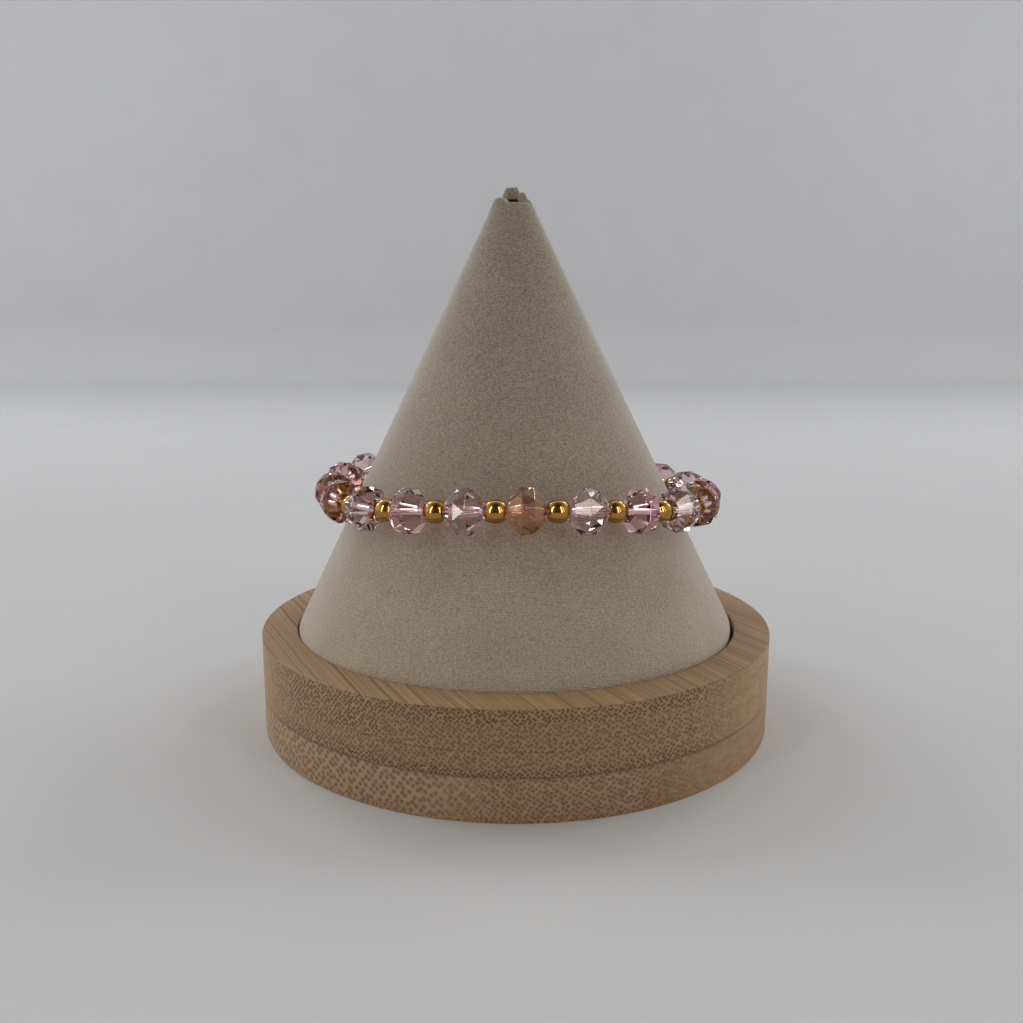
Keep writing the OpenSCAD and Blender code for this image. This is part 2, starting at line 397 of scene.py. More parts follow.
    def _by_height(self, tree: Tree, height: Feed, levels_mm: Span, values: Span) -> Feed:
        """Gives a value that changes evenly from one level to another."""
        low, high = (level * MM for level in levels_mm)
        return add_node(tree, "MapRange", [height, low, high, *values])


@dataclass(frozen=True)
class Bamboo:
    """Laminated bamboo board, turned, sanded and oiled matt.

    Its plies are glued with the grain running different ways. The cane's fibre bundles show as dark pin
    dots where the turned side cuts across them and as long streaks on the rim. The dots crowd together
    towards the cane's skin, under the rim and over the lower seam.
    """

    pale_colour: str = "#be9e77"
    deep_colour: str = "#9e7a54"
    fibre_colour: str = "#4c2a10"
    seam_colour: str = "#62412a"
    grain_turns_deg: Place = (20.0, 8.0, -26.5)
    wander_mm: float = 0.9
    wander_every_mm: float = 20.0
    patch_mm: float = 2.5
    streak_mm: float = 0.5
    band_mm: float = 4 / 3
    strip_shift: Place = (17.3, 5.1, 0.0)
    face_ply_mm: float = 18.6
    face_ply_lines: float = 0.6
    face_ply_dots: float = 0.3
    line_range: Span = (0.54, 0.65)
    ply_values: Place = (1.1, 1.03, 1.0)
    ply_saturations: Place = (0.97, 1.03, 1.04)
    end_grain_dark: float = 0.1
    dotted_end_grain: Span = (0.2, 0.55)
    crowding: tuple[Span, ...] = (
        (0.0, 0.55), (1.6, 0.3), (3.5, 0.2), (7.45, 0.3), (7.55, 1.0), (8.6, 0.75), (9.8, 0.15),
        (11.7, 0.1), (11.9, 0.3), (15.6, 0.4), (17.2, 0.85), (18.8, 1.0),
    )
    left_crowding: float = 0.3
    seams: Span = (7.6, 11.8)
    seam_widths: Span = (0.45, 0.16)
    seam_darks: Span = (0.5, 0.35)
    strip_mm: float = 32.2
    first_strip: float = 7.0
    upper_joint_mm: float = -14.8
    lower_joint_mm: float = 34.9
    coarse_to_open_mm: Span = (2.0, 17.0)
    open_bundle: Span = (0.7, 0.19)
    crowded_bundle: Span = (0.6, 0.23)
    coarse_bundle: Span = (1.05, 0.21)
    bundle_edge: float = 0.3
    bundle_turn_deg: float = 37.0
    packed_crowd: Span = (0.8, 1.15)
    crowd_range: Span = (0.3, 1.3)
    dot_strengths: Span = (0.42, 0.74)
    band_range: Span = (0.4, 0.8)
    strip_tone: float = 0.22
    left_paler: float = 0.3

    def make(self) -> Material:
        """Builds the material. Everything is drawn in millimetres across the grain, straight through.

        Returns:
            The material.
        """
        material, tree = blank_material("laminated_bamboo")
        place = add_node(tree, "TexCoord").outputs["Object"]
        height = add_node(tree, "SeparateXYZ", [self._turned(tree, place, 0.0)]).outputs["Z"]
        over = [
            add_node(tree, "Math", [height, level], operation="GREATER_THAN")
            for level in (self.seams[0], self.face_ply_mm)
        ]
        turned = [self._turned(tree, place, turn_deg) for turn_deg in self.grain_turns_deg]
        layered = self._by_ply(tree, over, turned, "VECTOR")
        scale = 1 / self.wander_every_mm
        wander = add_node(tree, "TexNoise", {"Vector": layered, "Scale": scale, "Detail": 1.0})
        straight = add_node(tree, "SeparateXYZ", [layered]).outputs["X"]
        across = add_node(tree, "Math", [wander, self.wander_mm, straight], operation="MULTIPLY_ADD")
        strip = self._strip(tree, across, over[0])
        shift = add_node(tree, "VectorMath", {"Vector": self.strip_shift, "Scale": strip}, operation="SCALE")
        level = add_node(tree, "CombineXYZ", [across, height])
        section = add_node(tree, "VectorMath", [level, shift], operation="ADD")
        end_grain = self._end_grain(tree, over)
        low_left, up_left = self._left_strips(tree, across, over[0])
        dots = self._dots(tree, section, height, low_left, up_left)
        dots = self._on_rim(tree, section, over[1], end_grain, dots)
        ground = self._ground(tree, section, strip, low_left)
        wood = add_node(tree, "Mix", [dots, ground, linear(self.fibre_colour)], data_type="RGBA")
        seams = self._seam_lines(tree, height, across)
        seamed = add_node(tree, "Mix", [seams, wood, linear(self.seam_colour)], data_type="RGBA")
        darker = add_node(tree, "MapRange", [end_grain, 0.0, 1.0, 1.0, 1.0 - self.end_grain_dark])
        by_ply = self._by_ply(tree, over, self.ply_values, "FLOAT")
        toned = add_node(
            tree, "HueSaturation",
            {
                "Color": seamed,
                "Value": add_node(tree, "Math", [darker, by_ply], operation="MULTIPLY"),
                "Saturation": self._by_ply(tree, over, self.ply_saturations, "FLOAT"),
            },
        )
        bump = add_node(tree, "Bump", {"Height": dots, "Strength": 0.35, "Distance": -0.04 * MM})
        shader = add_node(
            tree, "BsdfPrincipled",
            {"Base Color": toned, "Roughness": 0.5, "Specular IOR Level": 0.38, "Normal": bump},
        )
        add_node(tree, "OutputMaterial", {"Surface": shader})
        return material

    def _turned(self, tree: Tree, place: Feed, turn_deg: float) -> Feed:
        """Gives the place in millimetres, turned so that the grain runs along Y."""
        turn, scale = (0.0, 0.0, math.radians(turn_deg)), (1 / MM, 1 / MM, 1 / MM)
        return add_node(tree, "Mapping", {"Vector": place, "Rotation": turn, "Scale": scale})

    def _by_ply(self, tree: Tree, over: Sequence[Feed], values: Sequence[Feed | float], kind: str) -> Feed:
        """Picks the value of the ply that a point lies in.

        Args:
            tree: The material's tree.
            over: For each ply but the lowest, 1 over its lower face and 0 under it.
            values: A value for each ply, from the lowest to the face ply.
            kind: The values' type, "FLOAT" or "VECTOR".

        Returns:
            The ply's value.
        """
        picked = values[0]
        for is_over, value in zip(over, values[1:]):
            picked = add_node(tree, "Mix", [is_over, picked, value], data_type=kind)
        return picked

    def _end_grain(self, tree: Tree, over: Sequence[Feed]) -> Feed:
        """Finds where the surface cuts across the grain.

        Args:
            tree: The material's tree.
            over: For each ply but the lowest, 1 over its lower face and 0 under it.

        Returns:
            1 where the cut is straight across the grain, and 0 where the grain lies in the surface.
        """
        normal = add_node(tree, "NewGeometry").outputs["Normal"]
        shares = []
        for turn in map(math.radians, self.grain_turns_deg):
            grain = (-math.sin(turn), -math.cos(turn), 0.0)
            along = add_node(tree, "VectorMath", [normal, grain], operation="DOT_PRODUCT")
            shares.append(add_node(tree, "Math", [along, along], operation="MULTIPLY"))
        return self._by_ply(tree, over, shares, "FLOAT")

    def _left_strips(self, tree: Tree, across: Feed, upper: Feed) -> tuple[Feed, Feed]:
        """Finds the strips at the left, whose bundles differ.

        Args:
            tree: The material's tree.
            across: The place across the grain, in millimetres.
            upper: 1 over the lower seam, and 0 under it.

        Returns:
            The share of coarse bundles at the lower ply's left, and 1 left of the upper plies' joint.
        """
        coarse = add_node(tree, "MapRange", [across, *self.coarse_to_open_mm, 1.0, 0.0])
        lower = add_node(tree, "Math", [1.0, upper], operation="SUBTRACT")
        low_left = add_node(tree, "Math", [coarse, lower], operation="MULTIPLY")
        past_joint = add_node(tree, "Math", [across, self.upper_joint_mm], operation="GREATER_THAN")
        return low_left, add_node(tree, "Math", [upper, past_joint], operation="GREATER_THAN")

    def _strip(self, tree: Tree, across: Feed, upper: Feed) -> Feed:
        """Numbers the glued strips: evenly wide ones above the lower seam, and one joint below it.

        Args:
            tree: The material's tree.
            across: The place across the grain, in millimetres.
            upper: 1 over the lower seam, and 0 under it.

        Returns:
            The strip's number.
        """
        first = self.first_strip - self.upper_joint_mm / self.strip_mm
        share = add_node(tree, "Math", [across, 1 / self.strip_mm, first], operation="MULTIPLY_ADD")
        count = add_node(tree, "Math", [share], operation="FLOOR")
        past_joint = add_node(tree, "Math", [across, self.lower_joint_mm], operation="GREATER_THAN")
        return add_node(tree, "Mix", [upper, past_joint, count], data_type="FLOAT")

    def _bundles(self, tree: Tree, section: Feed, spacing_mm: float, size: float) -> Feed:
        """Draws one spacing of fibre bundles as soft round dots, in rows that run aslant.

        Args:
            tree: The material's tree.
            section: The place in the cut across the grain, in millimetres.
            spacing_mm: The distance from bundle to bundle.
            size: The radius of a dot's dark middle, as a share of the spacing.

        Returns:
            1 on the dots, and 0 between them.
        """
        turn = (0.0, 0.0, math.radians(self.bundle_turn_deg))
        aslant = add_node(tree, "Mapping", {"Vector": section, "Rotation": turn})
        cells = add_node(
            tree, "TexVoronoi", {"Vector": aslant, "Scale": 1 / spacing_mm, "Randomness": 0.55},
            voronoi_dimensions="2D",
        )
        return add_node(tree, "MapRange", [cells, size, size + self.bundle_edge, 1.0, 0.0])

    def _dots(self, tree: Tree, section: Feed, height: Feed, low_left: Feed, up_left: Feed) -> Feed:
        """Joins the open, crowded and coarse bundles.

        Args:
            tree: The material's tree.
            section: The place in the cut across the grain, in millimetres.
            height: The height above the table, in millimetres.
            low_left: The share of coarse bundles.
            up_left: 1 left of the upper plies' joint.

        Returns:
            How dark the dots are, from 0 to 1.
        """
        crowd = self._crowd(tree, section, height, up_left)
        crowded = add_node(tree, "MapRange", [crowd, *self.packed_crowd])
        opened, packed, coarse = (
            self._bundles(tree, section, *bundle)
            for bundle in (self.open_bundle, self.crowded_bundle, self.coarse_bundle)
        )
        loose = add_node(tree, "Mix", [low_left, opened, coarse], data_type="FLOAT")
        mixed = add_node(tree, "Mix", [crowded, loose, packed], data_type="FLOAT")
        strength = add_node(tree, "MapRange", [crowd, *self.crowd_range, *self.dot_strengths])
        return add_node(tree, "Math", [mixed, strength], operation="MULTIPLY")

    def _crowd(self, tree: Tree, section: Feed, height: Feed, up_left: Feed) -> Feed:
        """Gives how closely the bundles stand: by height, patch by patch, and closer at the upper left.

        Args:
            tree: The material's tree.
            section: The place in the cut across the grain, in millimetres.
            height: The height above the table, in millimetres.
            up_left: 1 left of the upper plies' joint.

        Returns:
            The crowding, from about 0.3 to 2.
        """
        top = self.crowding[-1][0]
        ramp = add_node(tree, "ValToRGB", [add_node(tree, "Math", [height, top], operation="DIVIDE")])
        stops = ramp.color_ramp.elements
        while len(stops) < len(self.crowding):
            stops.new(1.0)
        for stop, (at, share) in zip(stops, self.crowding):
            stop.position = at / top
            stop.color = (share, share, share, 1.0)
        scale = 1 / self.patch_mm
        patches = add_node(tree, "TexNoise", {"Vector": section, "Scale": scale, "Detail": 2.0})
        by_height = add_node(tree, "Math", [ramp, patches], operation="ADD")
        return add_node(tree, "Math", [up_left, self.left_crowding, by_height], operation="MULTIPLY_ADD")

    def _on_rim(self, tree: Tree, section: Feed, face_ply: Feed, end_grain: Feed, dots: Feed) -> Feed:
        """Leaves the dots where the cut crosses the grain, and draws streaks on the face ply.

        Args:
            tree: The material's tree.
            section: The place in the cut across the grain, in millimetres.
            face_ply: 1 in the face ply, and 0 under it.
            end_grain: 1 where the surface cuts straight across the grain.
            dots: How dark the dots are.

        Returns:
            How dark the dots and streaks are, from 0 to 1.
        """
        cut_across = add_node(tree, "MapRange", [end_grain, *self.dotted_end_grain])
        on_face = add_node(tree, "Math", [face_ply, self.face_ply_dots], operation="MULTIPLY")
        seen = add_node(tree, "Math", [cut_across, on_face], operation="MAXIMUM")
        left = add_node(tree, "Math", [dots, seen], operation="MULTIPLY")
        scale = 1 / self.streak_mm
        streaks = add_node(tree, "TexNoise", {"Vector": section, "Scale": scale, "Detail": 1.5})
        thin = add_node(tree, "MapRange", [streaks, *self.line_range, 0.0, self.face_ply_lines])
        lines = add_node(tree, "Math", [face_ply, thin], operation="MULTIPLY")
        return add_node(tree, "Math", [left, lines], operation="MAXIMUM")

    def _ground(self, tree: Tree, section: Feed, strip: Feed, low_left: Feed) -> Feed:
        """Tones the soft wood between the bundles: bands a few millimetres wide, and a tone for each strip.

        Args:
            tree: The material's tree.
            section: The place in the cut across the grain, in millimetres.
            strip: The strip's number.
            low_left: The share of coarse bundles, where the wood is paler.

        Returns:
            The colour.
        """
        bands = add_node(
            tree, "TexNoise", {"Vector": section, "Scale": 1 / self.band_mm, "Detail": 5.0, "Roughness": 0.75}
        )
        tone = add_node(tree, "TexWhiteNoise", [strip], noise_dimensions="1D")
        mixed = add_node(tree, "Math", [tone, self.strip_tone, bands], operation="MULTIPLY_ADD")
        paler = add_node(tree, "Math", [low_left, self.left_paler, mixed], operation="MULTIPLY_ADD")
        share = add_node(tree, "MapRange", [paler, *self.band_range])
        tones = [linear(self.deep_colour), linear(self.pale_colour)]
        return add_node(tree, "Mix", [share, *tones], data_type="RGBA")

    def _seam_lines(self, tree: Tree, height: Feed, across: Feed) -> Feed:
        """Draws the dark glue lines between the layers, the upper one only past the left joint.

        Args:
            tree: The material's tree.
            height: The height above the table, in millimetres.
            across: The place across the grain, in millimetres.

        Returns:
            How dark the glue is, from 0 to 1.
        """
        lines = []
        for seam, width, dark in zip(self.seams, self.seam_widths, self.seam_darks):
            off = add_node(tree, "Math", [height, seam], operation="SUBTRACT")
            away = add_node(tree, "Math", [off], operation="ABSOLUTE")
            lines.append(add_node(tree, "MapRange", [away, 0.0, width, dark, 0.0]))
        past_joint = add_node(tree, "Math", [across, self.upper_joint_mm], operation="GREATER_THAN")
        upper_line = add_node(tree, "Math", [lines[1], past_joint], operation="MULTIPLY")
        return add_node(tree, "Math", [lines[0], upper_line], operation="MAXIMUM")


@dataclass(frozen=True)
class SweepPaper:
    """Matt white paper of the studio's sweep, with the faint clouding of a sheet that isn't quite flat."""

    colour: str = "#dddedf"
    cloud_mm: float = 60.0
    cloud_tone: Span = (0.97, 1.03)

    def make(self) -> Material:
        """Builds the material.

        Returns:
            The material.
        """
        material, tree = blank_material("matt_white_paper")
        place = add_node(tree, "TexCoord").outputs["Object"]
        scale = 1 / (self.cloud_mm * MM)
        cloud = add_node(tree, "TexNoise", {"Vector": place, "Scale": scale, "Detail": 3.0})
        tone = add_node(tree, "MapRange", [cloud, 0.0, 1.0, *self.cloud_tone])
        toned = add_node(tree, "HueSaturation", {"Color": linear(self.colour), "Value": tone})
        shader = add_node(
            tree, "BsdfPrincipled", {"Base Color": toned, "Roughness": 0.7, "Specular IOR Level": 0.3}
        )
        add_node(tree, "OutputMaterial", {"Surface": shader})
        return material


def lathe(mesh: Mesh, outline: Sequence[Span], steps: int, ring: bool) -> None:
    """Spins an outline round Z into a closed solid.

    Args:
        mesh: The mesh that takes the solid.
        outline: Points as radius and height, in metres.
        steps: Sides of the solid.
        ring: Whether the outline closes on itself, and otherwise both its ends lie on the axis.
    """
    corners = [mesh.verts.new((radius, 0.0, height)) for radius, height in outline]
    following = corners[1:] + corners[:1] if ring else corners[1:]
    sides = [mesh.edges.new(pair) for pair in zip(corners, following)]
    bmesh.ops.spin(
        mesh, geom=corners + sides, cent=(0, 0, 0), axis=(0, 0, 1),
        angle=math.tau, steps=steps, use_merge=True,
    )
    bmesh.ops.remove_doubles(mesh, verts=mesh.verts, dist=MERGE)
    bmesh.ops.recalc_face_normals(mesh, faces=mesh.faces)


def merged_copy(node: Object) -> Mesh:
    """Copies a CAD node's mesh and joins its loose triangles.

    Args:
        node: The CAD object, which stays as it is.

    Returns:
        The new mesh.
    """
    mesh = bmesh.new()
    mesh.from_mesh(node.data)
    bmesh.ops.remove_doubles(mesh, verts=mesh.verts, dist=MERGE)
    return mesh


def sharp_edges(mesh: Mesh, angle_deg: float) -> list[bmesh.types.BMEdge]:
    """Finds the edges whose faces meet at more than an angle.

    Args:
        mesh: The mesh to look through.
        angle_deg: The angle in degrees.

    Returns:
        The edges.
    """
    return [e for e in mesh.edges if e.is_manifold and e.calc_face_angle(0.0) > math.radians(angle_deg)]


def soften(mesh: Mesh, edges: list[bmesh.types.BMEdge], width: float, segments: int) -> None:
    """Rounds edges.

    Args:
        mesh: The mesh that they belong to.
        edges: The edges to round.
        width: The rounding's width, in metres.
        segments: Faces across the rounding.
    """
    bmesh.ops.bevel(
        mesh, geom=edges, offset=width, offset_type="OFFSET", segments=segments,
        profile=0.5, affect="EDGES", material=-1, clamp_overlap=True,
    )


def make_piece(
    mesh: Mesh,
    name: str,
    material: Material,
    node: str,
    smooth_deg: float,
) -> Object:
    """Turns a finished mesh into a piece that stands for a CAD node.

    Args:
        mesh: The mesh, in place and in metres. It is freed.
        name: The piece's name.
        material: Its finish.
        node: The CAD node that it replaces.
        smooth_deg: Faces that meet at less than this angle are shaded as one surface.

    Returns:
        The piece.
    """
    for face in mesh.faces:
        face.smooth = smooth_deg > 0
    for edge in mesh.edges:
        edge.smooth = edge.calc_face_angle(math.pi) < math.radians(smooth_deg)
    data = bpy.data.meshes.new(name)
    mesh.to_mesh(data)
    mesh.free()
    data.materials.append(material)
    piece = bpy.data.objects.new(name, data)
    bpy.context.scene.collection.objects.link(piece)
    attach(piece, "root")
    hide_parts(node)
    LOG.info("%s: %d faces", name, len(data.polygons))
    return piece


@dataclass(frozen=True)
class BeadSeat:
    """Where a drilled bead sits: its middle, the direction of its hole, and its sizes."""

    middle: Vector
    axis: Vector
    length: float
    radius: float
    end_radius: float
    bore_radius: float

    @classmethod
    def of(cls, node: Object) -> "BeadSeat":
        """Measures a bead's node. Its two end faces are the largest flats on it.

        Args:
            node: The bead's CAD object.

        Returns:
            The seat.
        """
        flats: dict[tuple[float, ...], list[bpy.types.MeshPolygon]] = defaultdict(list)
        for polygon in node.data.polygons:
            flats[tuple(round(c, 2) for c in polygon.normal)].append(polygon)
        end = max(flats.values(), key=lambda faces: sum(face.area for face in faces))
        axis = sum((face.normal * face.area for face in end), Vector()).normalized()
        if axis.x < 0:
            axis = -axis
        centres = []
        for way in (-1, 1):
            faces = [face for face in node.data.polygons if face.normal.dot(axis) * way > SQUARE]
            area = sum(face.area for face in faces)
            centres.append(sum((face.center * face.area for face in faces), Vector()) / area)
        middle = (centres[0] + centres[1]) / 2
        points = [vertex.co - middle for vertex in node.data.vertices]
        radii = [(point - axis * point.dot(axis)).length for point in points]
        length = (centres[1] - centres[0]).length
        at_end = [r for r, point in zip(radii, points) if abs(point.dot(axis)) > AT_END * length]
        return cls(middle, axis, length, max(radii), max(at_end), min(radii))

    def off_axis(self, point: Vector) -> float:
        """Gives a point's distance from the hole's axis."""
        arm = point - self.middle
        return (arm - self.axis * arm.dot(self.axis)).length

    def matrix(self) -> Matrix:
        """Gives the transform that lays a bead made along Z into this seat."""
        return Matrix.Translation(self.middle) @ self.axis.to_track_quat("Z", "Y").to_matrix().to_4x4()


class Lustre(Enum):
    """How a crystal's coated side looks: its strength, and its warmth from rose to copper."""

    CLEAR = (0.15, 0.0)
    ROSE = (0.6, 0.15)
    COPPER = (0.75, 0.7)
    AMBER = (0.9, 0.9)


@dataclass
class CrystalRow:
    """The fifteen cut crystals, each with its facets' arrises just broken by polishing.

    A coat is a lustre and the side that it lies on: 0 degrees is up, 90 towards the viewer, 180 down.
    """

    glass: Material
    arris: float = 0.05 * MM
    arris_deg: float = 10.0
    flat_deg: float = 1.0
    bore_reach: float = 1.05
    coat_edge: float = 0.35
    patchiness: float = 0.9
    patch_scale: float = 700.0
    coats: dict[int, tuple[Lustre, float]] = field(
        default_factory=lambda: {
            1: (Lustre.CLEAR, 90), 2: (Lustre.ROSE, 60), 3: (Lustre.ROSE, 150), 4: (Lustre.COPPER, 10),
            5: (Lustre.CLEAR, 0), 6: (Lustre.ROSE, 150), 7: (Lustre.CLEAR, 0), 8: (Lustre.AMBER, 110),
            9: (Lustre.CLEAR, 20), 10: (Lustre.ROSE, 120), 11: (Lustre.CLEAR, 30), 12: (Lustre.COPPER, 300),
            13: (Lustre.ROSE, 80), 14: (Lustre.CLEAR, 100), 15: (Lustre.ROSE, 90),
        }
    )

    def build(self, nodes: dict[str, Object]) -> list[Object]:
        """Builds every crystal from its solid.

        Args:
            nodes: The CAD objects by name.

        Returns:
            The pieces.
        """
        return [self._crystal(number, nodes) for number in range(1, CRYSTAL_COUNT + 1)]

    def _crystal(self, number: int, nodes: dict[str, Object]) -> Object:
        """Builds one crystal: its solid's facets made whole, its arrises broken, its coat laid on.

        Args:
            number: The crystal's number.
            nodes: The CAD objects by name.

        Returns:
            The piece.
        """
        name = f"crystal_bead_{number:02d}"
        seat = BeadSeat.of(nodes[name])
        mesh = merged_copy(nodes[name])
        flat = math.radians(self.flat_deg)
        bmesh.ops.dissolve_limit(mesh, angle_limit=flat, verts=mesh.verts, edges=mesh.edges)
        reach = self.bore_reach * seat.bore_radius
        bore = {face for face in mesh.faces if seat.off_axis(face.calc_center_median()) < reach}
        sharp = sharp_edges(mesh, self.arris_deg)
        arrises = [edge for edge in sharp if not any(face in bore for face in edge.link_faces)]
        soften(mesh, arrises, self.arris, segments=1)
        self._lay_coat(mesh, number, seat)
        return make_piece(mesh, f"crystal_{number:02d}", self.glass, name, smooth_deg=0)

    def _lay_coat(self, mesh: Mesh, number: int, seat: BeadSeat) -> None:
        """Keeps on each facet how much lustre it has, which falls off round the bead.

        Args:
            mesh: The crystal.
            number: The crystal's number.
            seat: Where the crystal sits.
        """
        kind, turn_deg = self.coats[number]
        strength, warmth = kind.value
        up = (Vector((0, 0, 1)) - seat.axis * seat.axis.z).normalized()
        side = seat.axis.cross(up)
        coated = up * math.cos(math.radians(turn_deg)) + side * math.sin(math.radians(turn_deg))
        lustre_layer = mesh.faces.layers.float.new("lustre")
        warmth_layer = mesh.faces.layers.float.new("warmth")
        for face in mesh.faces:
            centre = face.calc_center_median()
            facing = (centre - seat.middle).dot(coated) / seat.radius
            share = min(max((facing + self.coat_edge) / (2 * self.coat_edge), 0.0), 1.0)
            patch = noise.noise(centre * self.patch_scale + Vector((0.0, 0.0, number)))
            face[lustre_layer] = min(max(strength * share * (1 + self.patchiness * patch), 0.0), 1.0)
            face[warmth_layer] = min(max(warmth * (1 + patch), 0.0), 1.0)


@dataclass
class SpacerRow:
    """The sixteen gold barrel spacers, with lips rolled at both ends of the hole."""

    gold: Material
    steps: int = 48
    side_steps: int = 14
    lip: float = 0.16 * MM

    def build(self, nodes: dict[str, Object]) -> list[Object]:
        """Builds every spacer over its solid.

        Args:
            nodes: The CAD objects by name.

        Returns:
            The pieces.
        """
        return [self._spacer(number, nodes) for number in range(1, SPACER_COUNT + 1)]

    def _spacer(self, number: int, nodes: dict[str, Object]) -> Object:
        """Builds one spacer as a lathed barrel.

        Args:
            number: The spacer's number.
            nodes: The CAD objects by name.

        Returns:
            The piece.
        """
        name = f"gold_spacer_{number:02d}"
        seat = BeadSeat.of(nodes[name])
        half = seat.length / 2
        sag = seat.radius - seat.end_radius
        arc = (half * half + sag * sag) / (2 * sag)
        side = [
            (seat.radius - arc + math.sqrt(arc * arc - z * z), z)
            for z in (half * (2 * step / self.side_steps - 1) for step in range(self.side_steps + 1))
        ]
        mesh = bmesh.new()
        lathe(mesh, [(seat.bore_radius, -half), *side, (seat.bore_radius, half)], self.steps, True)
        soften(mesh, sharp_edges(mesh, angle_deg=30), self.lip, segments=3)
        bmesh.ops.transform(mesh, matrix=seat.matrix(), verts=mesh.verts)
        return make_piece(mesh, f"spacer_{number:02d}", self.gold, name, smooth_deg=40)


@dataclass
class Stringing:
    """The thread through the beads, and the plain chain and slider behind the cone."""

    nylon: Material
    gold: Material
    metal: tuple[str, ...] = ("end_eye_left", "end_eye_right", "chain_left", "chain_right", "slider_bead")

    def build(self, nodes: dict[str, Object]) -> list[Object]:
        """Rounds the thread and dresses the metal.

        Args:
            nodes: The CAD objects by name.

        Returns:
            The thread, which is a new piece, and the dressed nodes.
        """
        mesh = merged_copy(nodes["thread"])
        pieces = [make_piece(mesh, "beading_thread", self.nylon, "thread", smooth_deg=60)]
        for name in self.metal:
            for place in nodes[name].material_slots:
                place.material = self.gold
            pieces.append(nodes[name])
            LOG.info("%s: dressed in gold", name)
        return pieces


@dataclass(frozen=True)
class TipRing:
    """One ring of the cone's cut-off tip, in millimetres: where it lies and how the folds move it.

    The push is outwards, and the lift is a share of the fold's height over the ring.
    """

    radius: float
    depth: float
    push: float
    lift: float

    def distance(self, radius: float, depth: float) -> float:
        """Gives how far a point of the outline lies from this ring."""
        return abs(self.radius - radius) + abs(self.depth - depth)


